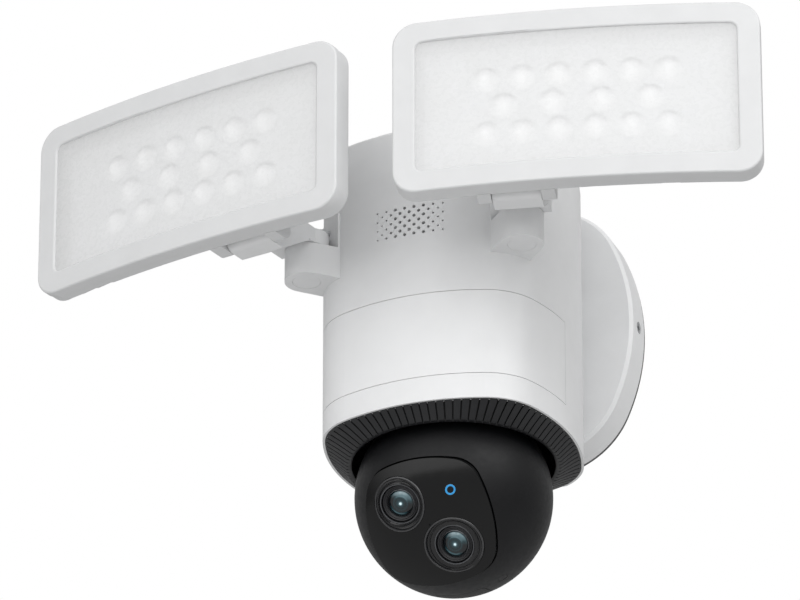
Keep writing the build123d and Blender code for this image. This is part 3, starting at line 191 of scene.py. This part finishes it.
def blue_material():
    """Lit ring: brightest along the middle of its width."""
    material, tree, shader = new_material("blue_light")
    glow = remap(tree, noise(tree, 900.0, 2.0), 0.75, 1.15)
    colour = two_colours(tree, glow, (0.005, 0.07, 0.20), (0.02, 0.22, 0.48))
    tree.links.new(colour, shader.inputs["Base Color"])
    tree.links.new(colour, shader.inputs["Emission Color"])
    shader.inputs["Emission Strength"].default_value = 0.5
    shader.inputs["Roughness"].default_value = 0.3
    return material


def diffuser_material():
    """Milky sheet that lets the LED lenses show faintly through it, brightened by a faint painted
    glow.
    """
    material, tree, shader = new_material("diffuser")
    cloud = remap(tree, noise(tree, 60.0, 3.0), 0.0, 1.0)
    colour = two_colours(tree, cloud, (0.80, 0.805, 0.805), (0.81, 0.815, 0.82))
    tree.links.new(colour, shader.inputs["Base Color"])
    gloss = remap(tree, noise(tree, 500.0, 3.0), 0.24, 0.32)
    tree.links.new(gloss, shader.inputs["Roughness"])
    shader.inputs["Alpha"].default_value = 0.55
    # Painted glow: faint white emission that brightens the whole sheet.
    shader.inputs["Emission Color"].default_value = (1, 1, 1, 1)
    shader.inputs["Emission Strength"].default_value = 0.07
    shader.inputs["IOR"].default_value = 1.49
    pits = tree.nodes.new("ShaderNodeBump")
    pits.inputs["Strength"].default_value = 0.07
    pits.inputs["Distance"].default_value = 0.1 * MM
    tree.links.new(noise(tree, 1800.0), pits.inputs["Height"])
    tree.links.new(pits.outputs["Normal"], shader.inputs["Normal"])
    return material


def led_material():
    """Silicone LED lens, warm white, with painted light: painted grey shade at its top edge and a
    painted highlight low on its middle, also given off as a painted glow.
    """
    material, tree, shader = new_material("led")
    # Point attribute holding painted light: painted shade at the lens top and a painted highlight low
    # on it.
    painted_light = tree.nodes.new("ShaderNodeAttribute")
    painted_light.attribute_name = "painted_light"
    cloud = remap(tree, noise(tree, 300.0, 2.0), 0.97, 1.03)
    scale = tree.nodes.new("ShaderNodeMath")
    scale.operation = "MULTIPLY"
    tree.links.new(painted_light.outputs["Fac"], scale.inputs[0])
    tree.links.new(cloud, scale.inputs[1])
    value = scale.outputs["Value"]
    colour = two_colours(tree, value, (0.10, 0.105, 0.11), (1.0, 1.0, 1.0))
    tree.links.new(colour, shader.inputs["Base Color"])
    # Painted glow: the same painted light given off as emission.
    glow = two_colours(tree, value, (0.0, 0.0, 0.0), (1.0, 1.0, 1.0))
    tree.links.new(glow, shader.inputs["Emission Color"])
    shader.inputs["Emission Strength"].default_value = 0.35
    gloss = remap(tree, noise(tree, 700.0, 2.0), 0.2, 0.3)
    tree.links.new(gloss, shader.inputs["Roughness"])
    return material


LOOKS["blue_light"] = blue_material()
LOOKS["diffuser"] = diffuser_material()
LOOKS["led"] = led_material()
# Slot floors: near-black painted shade, darker than the ring's own black plastic.
LOOKS["slot_painted_shade"] = look("slot_painted_shade", (0.004, 0.004, 0.0045), 0.8, 0.5, 0.2, 0.2)


def glass_material():
    """Coated glass over darkness with painted reflections: black, then teal, then pale, by how much
    painted reflection each point holds, also given off as a painted glow.
    """
    material, tree, shader = new_material("lens_glass")
    # Point attribute holding painted reflections and highlights on the glass.
    painted_reflection = tree.nodes.new("ShaderNodeAttribute")
    painted_reflection.attribute_name = "painted_reflection"
    cloud = remap(tree, noise(tree, 500.0, 2.0), 0.92, 1.08)
    scale = tree.nodes.new("ShaderNodeMath")
    scale.operation = "MULTIPLY"
    tree.links.new(painted_reflection.outputs["Fac"], scale.inputs[0])
    tree.links.new(cloud, scale.inputs[1])
    ramp = tree.nodes.new("ShaderNodeValToRGB")
    stops = ramp.color_ramp.elements
    stops[0].color = (0.002, 0.003, 0.004, 1)
    stops[1].color = (0.75, 0.95, 1.0, 1)
    for place, colour in ((0.25, (0.012, 0.035, 0.042, 1)), (0.55, (0.10, 0.16, 0.18, 1))):
        stops.new(place).color = colour
    tree.links.new(scale.outputs["Value"], ramp.inputs["Fac"])
    tree.links.new(ramp.outputs["Color"], shader.inputs["Base Color"])
    # Painted glow: the painted reflection colour is also given off as emission.
    tree.links.new(ramp.outputs["Color"], shader.inputs["Emission Color"])
    shader.inputs["Emission Strength"].default_value = 0.35
    smooth = remap(tree, noise(tree, 300.0, 2.0), 0.03, 0.06)
    tree.links.new(smooth, shader.inputs["Roughness"])
    shader.inputs["IOR"].default_value = 1.55
    return material


LOOKS["lens_glass"] = glass_material()
LOOKS["lens_rim"] = look("lens_rim", (0.016, 0.016, 0.018), 0.24, 0.6, 0.05, 0.15, IOR=1.7)
LOOKS["silver_ring"] = look(
    "silver_ring", (0.12, 0.123, 0.13), 0.34, 0.5, 0.08, 0.1, Metallic=1.0
)

for node_name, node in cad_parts.items():
    for place in node.material_slots:
        place.material = LOOKS[place.material.name.split(".")[0]]
        # Lamp frames and backs take the darker copy of the white plastic, painted shade.
        if node_name.endswith(("lamp_frame", "lamp_rear")):
            place.material = LOOKS["lamp_plastic"]


# ------------------------------------------------------------ mesh helpers
def piece(name, points, faces, material, body, sharp=35.0, stands_for=(), values=None):
    """One named mesh riding on a body. Points are in mm in the row frame."""
    mesh = bpy.data.meshes.new(name)
    mesh.from_pydata([tuple(c * MM for c in p) for p in points], [], faces)
    materials = material if isinstance(material, (list, tuple)) else [material]
    for m in materials:
        mesh.materials.append(LOOKS[m])
    mesh.update()
    mesh.shade_smooth()
    mesh.set_sharp_from_angle(angle=radians(sharp))
    if values:
        for attribute, numbers in values.items():
            layer = mesh.attributes.new(attribute, "FLOAT", "POINT")
            layer.data.foreach_set("value", numbers)
    obj = bpy.data.objects.new(name, mesh)
    bpy.context.scene.collection.objects.link(obj)
    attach(obj, body)
    if stands_for:
        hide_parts(*stands_for)
    return obj


def squircle_reach(angle, inset):
    """How far the housing's outline is from its axis, in a direction given in radians."""
    half, side_r, corner_r = (v - inset for v in HOUSING)
    a = abs((angle + pi / 4) % (pi / 2) - pi / 4)
    lag = side_r - half
    reach = side_r - corner_r
    centre = (sqrt(2 * reach ** 2 - lag ** 2) - lag) / 2
    joint = atan2(centre * side_r / reach, (centre + lag) * side_r / reach - lag)
    if a <= joint:
        return -lag * cos(a) + sqrt(side_r ** 2 - (lag * sin(a)) ** 2)
    along = centre * (cos(a) + sin(a))
    across = centre * (cos(a) - sin(a))
    return along + sqrt(corner_r ** 2 - across ** 2)


def smooth_step(x, low, high):
    """0 below low, 1 above high, and a smooth turn between them."""
    t = min(max((x - low) / (high - low), 0.0), 1.0)
    return t * t * (3 - 2 * t)


# ------------------------------------------------------------ ribbed ring
def ribbed_ring():
    """Sloping ring cut by narrow radial slots, with a rounded lip and a throat; the slot floors carry
    a near-black painted shade.
    """
    columns = []
    half_slot = SLOT_W / 2 / SLOT_MEAN_R
    pitch = 2 * pi / RIB_SLOTS
    for i in range(RIB_SLOTS):
        middle = (i + 0.5) * pitch
        for offset, cut in (
            (-half_slot * 1.02, 0.0),
            (-half_slot * 0.9, 1.0),
            (half_slot * 0.9, 1.0),
            (half_slot * 1.02, 0.0),
            (pitch * 0.36, 0.0),
            (pitch * 0.64, 0.0),
        ):
            columns.append((middle + offset, cut))
    # rows: (share of the way from the outline to the lip, height, cut share)
    slope = [(0.0, 0.0), (0.05, 0.0), (0.09, 1.0), (0.3, 1.0), (0.55, 1.0), (0.8, 1.0)]
    slope += [(0.94, 1.0), (1.0, 1.0)]
    rows = []
    for share, cut in slope:
        rows.append(("slope", share, -RING_DROP * share ** 1.15, cut))
    lip = [(0.2, -0.18), (0.5, -0.3), (0.8, -0.18), (1.0, 0.25)]
    for share, drop in lip:
        rows.append(("lip", share, -RING_DROP + drop * 0.6, 0.0 if share > 0.2 else 0.4))
    points = []
    for angle, cut in columns:
        outer = squircle_reach(angle, RING_INSET)
        c, s = cos(angle), sin(angle)
        ring = [(outer, 0.0)]
        for kind, share, z, depth in rows:
            start, end = (outer, MOUTH_LIP_R) if kind == "slope" else (MOUTH_LIP_R, MOUTH_R)
            ring.append((start + (end - start) * share, z + SLOT_DEEP * cut * depth))
        ring += [(MOUTH_R + 0.05, -RING_DROP + 0.8), (THROAT_R, 0.0), (THROAT_R, THROAT_TOP)]
        ring += [(THROAT_R + THROAT_WALL, THROAT_TOP), (THROAT_R + THROAT_WALL, 1.6)]
        ring += [(outer, 1.2)]
        for r, z in ring[1:]:
            y = r * s
            if z > 0.5:
                y = min(y, RING_BACK_Y)
            points.append((r * c, y + AXIS_Y, z + RIM_Z))
    per = len(ring) - 1
    faces, cuts = [], []
    total = len(columns)
    for i in range(total):
        k = (i + 1) % total
        for j in range(per):
            n = (j + 1) % per
            faces.append((i * per + j, i * per + n, k * per + n, k * per + j))
            # Faces on the slot floors take the second material, the painted shade.
            cuts.append(1 if columns[i][1] and columns[k][1] and 1 <= j <= 7 else 0)
    obj = piece(
        "ribbed_mouth_ring", points, faces, ["black_plastic", "slot_painted_shade"], "housing",
        30.0, ["ribbed_ring"],
    )
    obj.data.polygons.foreach_set("material_index", cuts)
    return obj


ribbed_ring()


# ------------------------------------------------------------ lamps
def lamp_place(side):
    """From a lamp's own coordinates (x along it, -y out of its front) to the row frame."""
    x, y, z = LAMP_AT
    return Matrix.Translation((side * x, y, z)) @ Matrix.Rotation(radians(side * LAMP_TOE), 4, "Z")


def lamp_point(side, x, depth, z):
    """A point at a depth behind the bowed front face."""
    radius = LAMP_R - depth
    angle = x / LAMP_R
    local = Vector((radius * sin(angle), LAMP_R - LAMP_BOW - radius * cos(angle), z))
    return lamp_place(side) @ local


def led_spots():
    """LED positions from the centre of the lamp's face."""
    spots = []
    for row, count in enumerate(LED_ROWS):
        pitch = LED_PITCH_MIDDLE if row == 1 else LED_PITCH_OUTER
        z = (1 - row) * LED_ROW_PITCH
        spots += [((i - (count - 1) / 2) * pitch, z) for i in range(count)]
    return spots


def led_painted_light(x, z):
    """Painted light on a LED lens: painted shade in a grey crescent at its top edge and a painted
    highlight brightest low on its middle.
    """
    r = hypot(x, z)
    top = smooth_step(z / (r + 0.01), 0.0, 0.9)
    painted_crescent = exp(-((r - 5.2) / 1.7) ** 2) * top
    painted_light = exp(-((hypot(x, z + 2.0)) / 2.4) ** 2)
    return min(max(0.62 - 0.62 * painted_crescent + 0.5 * painted_light, 0.0), 1.0)


def led_lenses(side, side_name):
    """Round lens over each LED, standing on the board."""
    rings, turns = 12, 36
    front = LED_BOARD_FRONT - LED_FOOT - LED_FOOT_H
    points, faces, spots = [], [], []
    for cx, cz in led_spots():
        base = len(points)
        for j in range(rings + 1):
            share = 1 - j / rings
            r = LED_LENS_R * sin(share * pi / 2)
            lift = LED_LENS_H * (0.5 + 0.5 * cos(pi * min(r / LED_LENS_R, 1.0)))
            for i in range(turns):
                a = 2 * pi * i / turns
                x, z = cx + r * cos(a), cz + r * sin(a)
                points.append(lamp_point(side, x, front - lift, LAMP_H / 2 + z))
                # Painted light per point: painted shade and a painted highlight.
                spots.append(led_painted_light(x - cx, z - cz))
        for j in range(rings - 1):
            for i in range(turns):
                k = (i + 1) % turns
                a, b = base + j * turns + i, base + j * turns + k
                faces.append((a, b, b + turns, a + turns))
        top = base + (rings - 1) * turns
        faces.append(tuple(top + i for i in range(turns)))
        foot = len(points)
        for i in range(turns):
            a = 2 * pi * i / turns
            x, z = cx + LED_LENS_R * cos(a), cz + LED_LENS_R * sin(a)
            depth = LED_BOARD_FRONT - LED_FOOT
            points.append(lamp_point(side, x, depth, LAMP_H / 2 + z))
            # The lens foot takes the darkest painted shade.
            spots.append(0.0)
        for i in range(turns):
            k = (i + 1) % turns
            faces.append((base + k, base + i, foot + i, foot + k))
        faces.append(tuple(foot + turns - 1 - i for i in range(turns)))
    return piece(
        f"{side_name}_led_lenses", points, faces, "led", f"{side_name}_lamp", 50.0,
        [f"{side_name}_leds"], {"painted_light": spots},
    )


for side_name, side in (("right", 1), ("left", -1)):
    led_lenses(side, side_name)


# ------------------------------------------------------------ lenses on the ball
def ball_point(x, y, h):
    """From ball coordinates (x right, y up the face, h out of it) to the row frame."""
    t = radians(REST_TILT)
    return (x, AXIS_Y - y * sin(t) - h * cos(t), BALL_Z + y * cos(t) - h * sin(t))


def dome_height(r):
    """Height of the panel's dome at a distance from its middle."""
    return PANEL_APEX - PANEL_DOME_R + sqrt(PANEL_DOME_R ** 2 - r ** 2)


def turned(name, centre, profile, material, stands_for=(), turns=96, value=None):
    """A ring about a lens axis, or, with a value to write on its points, a closed dome.
    Profile rows are (radius, height above the panel's dome at the lens centre, share of the
    dome's slope that the row follows, material number)."""
    cx, cy = centre
    middle = dome_height(hypot(cx, cy))
    points, values = [], []
    for r, rise, follow, _ in profile:
        for i in range(turns):
            a = 2 * pi * i / turns
            x, y = cx + r * cos(a), cy + r * sin(a)
            slope = dome_height(hypot(x, y)) - middle
            points.append(ball_point(x, y, middle + rise + follow * slope))
            values.append(value(x - cx, y - cy) if value else 0.0)
    faces, finishes = [], []
    rows = len(profile)
    closed = value is None
    for j in range(rows if closed else rows - 1):
        n = (j + 1) % rows
        for i in range(turns):
            k = (i + 1) % turns
            faces.append((j * turns + i, j * turns + k, n * turns + k, n * turns + i))
            finishes.append(profile[j][3])
    if not closed:
        faces.append(tuple(reversed(range(turns))))
        faces.append(tuple((rows - 1) * turns + i for i in range(turns)))
        finishes += [0, 0]
    obj = piece(
        name, points, faces, material, "ball",
        40.0, stands_for, {"painted_reflection": values} if value else None,
    )
    obj.data.polygons.foreach_set("material_index", finishes)
    return obj


def bezel_profile(r):
    """Outer ring of a lens: rounded rim, step, fine ridges and a conical mouth."""
    rows = [(r, -3.4, 0.0, 0), (r, -1.0, 0.6, 0), (r, 0.1, 1.0, 1), (r - 0.12, 0.34, 1.0, 1)]
    rows += [(r - 0.4, 0.46, 1.0, 1), (r - 0.75, 0.36, 1.0, 1), (r - 0.95, 0.0, 1.0, 0)]
    rows += [(r - 1.2, -0.7, 0.8, 0), (r - 1.7, -0.85, 0.7, 0), (r - 1.85, -0.6, 0.6, 0)]
    rows += [(r - 2.1, -0.6, 0.5, 0), (r - 2.3, -1.1, 0.4, 0), (8.5, -1.5, 0.1, 0)]
    rows += [(8.3, -1.35, 0.0, 2), (7.9, -1.45, 0.0, 2), (7.65, -2.0, 0.0, 0)]
    rows += [(7.65, -3.4, 0.0, 0)]
    return rows


def barrel_profile():
    """Lens barrel: two stepped ridges round the glass."""
    rows = [(BARREL_R, BARREL_BACK, 0.0, 0), (BARREL_R, -2.2, 0.0, 0), (7.1, -2.0, 0.0, 0)]
    rows += [(6.7, -2.3, 0.0, 0), (6.45, -2.1, 0.0, 0), (6.2, -2.25, 0.0, 0)]
    rows += [(5.75, -2.9, 0.0, 1), (5.45, -2.75, 0.0, 1)]
    rows += [(BARREL_BORE_R, -3.2, 0.0, 0), (BARREL_BORE_R, BARREL_BACK, 0.0, 0)]
    return rows


def painted_reflection(x, y):
    """How much painted reflection the coated glass shows over a lens: a painted sheen above, a
    painted crescent below and a painted dot, halo and ring in the middle.
    """
    r = hypot(x, y)
    upper = smooth_step((0.45 * x + 0.89 * y) / 5.2, 0.05, 0.85)
    sheen = 0.62 * upper * smooth_step(r, 1.4, 3.4) * (1 - smooth_step(r, 4.6, 5.2))
    lower = smooth_step((-0.5 * x - 0.86 * y) / (r + 0.01), 0.45, 0.98)
    painted_crescent = 0.50 * lower * exp(-((r - 4.5) / 0.42) ** 2)
    dot = 1.0 * exp(-(hypot(x - 0.1, y + 0.1) / 0.55) ** 2)
    halo = 0.36 * exp(-(r / 1.7) ** 2)
    ring = 0.16 * exp(-((r - 2.9) / 0.3) ** 2)
    return min(sheen + painted_crescent + dot + halo + ring, 1.0)


def glass_profile():
    """Domed front of the glass and its back edge."""
    rows = []
    steps = 18
    for j in range(steps + 1):
        r = GLASS_R * j / steps
        rows.append((max(r, 0.02), GLASS_TOP - GLASS_SAG * (r / GLASS_R) ** 2, 0.0, 0))
    rows.append((GLASS_R, GLASS_BACK, 0.0, 0))
    return rows


def status_profile():
    """Light ring in the panel: dark edges with a thin lit band between them."""
    return [
        (LIGHT_OUT_R, -LIGHT_DEEP, 0.0, 1), (LIGHT_OUT_R, 0.02, 1.0, 1),
        (2.08, 0.06, 1.0, 0), (1.5, 0.06, 1.0, 0), (1.36, 0.02, 1.0, 1),
        (LIGHT_IN_R, 0.0, 1.0, 1), (LIGHT_IN_R, -LIGHT_DEEP, 0.0, 1),
    ]


turned("status_ring", LIGHT_AT, status_profile(), ["blue_light", "bezel"], ["status_light"])
for lens_name, (cx, cy, rim_r) in LENSES.items():
    turned(
        f"{lens_name}_lens_rings", (cx, cy), bezel_profile(rim_r),
        ["bezel", "lens_rim", "silver_ring"], [f"{lens_name}_lens_bezel"],
    )
    turned(
        f"{lens_name}_lens_barrel", (cx, cy), barrel_profile(),
        ["lens_barrel", "silver_ring"], ["lens_barrels"],
    )
    turned(
        f"{lens_name}_lens_front", (cx, cy), glass_profile(), ["lens_glass"],
        ["lens_glasses"], value=painted_reflection,
    )


# ------------------------------------------------------------ camera
CAMERA_AWAY = 2971.0
SENSOR_WIDE = 36.0
PICTURE_WIDE = 328.4
LENS_LONG = SENSOR_WIDE * CAMERA_AWAY / PICTURE_WIDE
TURN = radians(20.84)
RISE = radians(27.04)
AIM_LEFT = 22.04
AIM_UP = 63.5
across = Vector((cos(TURN), sin(TURN), 0))
up = Vector((sin(TURN) * sin(RISE), -cos(TURN) * sin(RISE), cos(RISE)))
ahead = Vector((-sin(TURN) * cos(RISE), cos(TURN) * cos(RISE), sin(RISE)))
target = Vector((0, AXIS_Y, RIM_Z)) - across * AIM_LEFT + up * AIM_UP
lens = bpy.data.cameras.new("camera")
lens.lens = LENS_LONG
lens.sensor_width = SENSOR_WIDE
lens.clip_end = 50.0
camera = bpy.data.objects.new("camera", lens)
turn = Matrix((across, up, -ahead)).transposed().to_4x4()
camera.matrix_world = Matrix.Translation((target - ahead * CAMERA_AWAY) * MM) @ turn
bpy.context.scene.collection.objects.link(camera)
bpy.context.scene.camera = camera


# ------------------------------------------------------------ stage, in metres
FLOOR_HALF = 8.0
FLOOR_LEVEL = -1.75
KEY_PLACE = (1.65, -0.85, 1.15)
KEY_AIM = (0, -0.08, 0)
KEY_SIZE = 1.3
KEY_WATTS = 15.0
# patches of light in the surround: direction, edge and middle as cosines, strength
SKY_LOBE = ((0, 0, 1), -0.75, 0.7, 0.24)
FRONT_LOBE = ((0.0, -1.0, -0.04), 0.35, 1.0, 1.52)
SIDE_LOBE = ((0.85, -0.42, 0.45), 0.72, 1.0, 0.4)
SURROUND_LEVEL = 0.22


def soft_light(name, place, aim, size, power):
    """A square area light in metres, aimed at a point."""
    data = bpy.data.lights.new(name, "AREA")
    data.shape = "SQUARE"
    data.size = size
    data.energy = power
    obj = bpy.data.objects.new(name, data)
    obj.location = place
    direction = Vector(aim) - Vector(place)
    obj.rotation_euler = direction.to_track_quat("-Z", "Y").to_euler()
    bpy.context.scene.collection.objects.link(obj)


def stage():
    """A wide pale floor far below, a key light and a white surround."""
    half, level = FLOOR_HALF, FLOOR_LEVEL
    corners = [(x, y, level) for x, y in ((-half, -half), (half, -half), (half, half), (-half, half))]
    mesh = bpy.data.meshes.new("floor")
    mesh.from_pydata(corners, [], [(0, 1, 2, 3)])
    mesh.materials.append(look("floor", (0.86, 0.86, 0.86), 0.8, 4.0, 0.05, 0.01))
    floor = bpy.data.objects.new("floor", mesh)
    bpy.context.scene.collection.objects.link(floor)
    surround()
    bpy.context.scene.view_settings.view_transform = "Standard"
    soft_light("key", KEY_PLACE, KEY_AIM, KEY_SIZE, KEY_WATTS)


def world_lobe(tree, direction, toward, near, far, peak):
    """Soft patch of light in the surround, from its edge (near) to its middle (far)."""
    dot = tree.nodes.new("ShaderNodeVectorMath")
    dot.operation = "DOT_PRODUCT"
    tree.links.new(direction, dot.inputs[0])
    dot.inputs[1].default_value = Vector(toward).normalized()
    lobe = remap(tree, dot.outputs["Value"], 0.0, peak, near, far)
    lobe.node.interpolation_type = "SMOOTHSTEP"
    return lobe


def surround():
    """White backdrop that lights the object softly from the front and the upper right."""
    world = bpy.data.worlds.new("surround")
    world.use_nodes = True
    tree = world.node_tree
    glow = tree.nodes["Background"]
    glow.inputs["Strength"].default_value = 1.0
    direction = tree.nodes.new("ShaderNodeTexCoord").outputs["Generated"]
    total = world_lobe(tree, direction, *SKY_LOBE)
    for patch in (FRONT_LOBE, SIDE_LOBE):
        add = tree.nodes.new("ShaderNodeMath")
        add.operation = "ADD"
        tree.links.new(total, add.inputs[0])
        tree.links.new(world_lobe(tree, direction, *patch), add.inputs[1])
        total = add.outputs["Value"]
    base = tree.nodes.new("ShaderNodeMath")
    base.operation = "ADD"
    base.inputs[1].default_value = SURROUND_LEVEL
    tree.links.new(total, base.inputs[0])
    seen = tree.nodes.new("ShaderNodeLightPath")
    mix = tree.nodes.new("ShaderNodeMix")
    mix.inputs["B"].default_value = 1.0
    tree.links.new(seen.outputs["Is Camera Ray"], mix.inputs["Factor"])
    tree.links.new(base.outputs["Value"], mix.inputs["A"])
    tree.links.new(mix.outputs["Result"], glow.inputs["Color"])
    bpy.context.scene.world = world


stage()
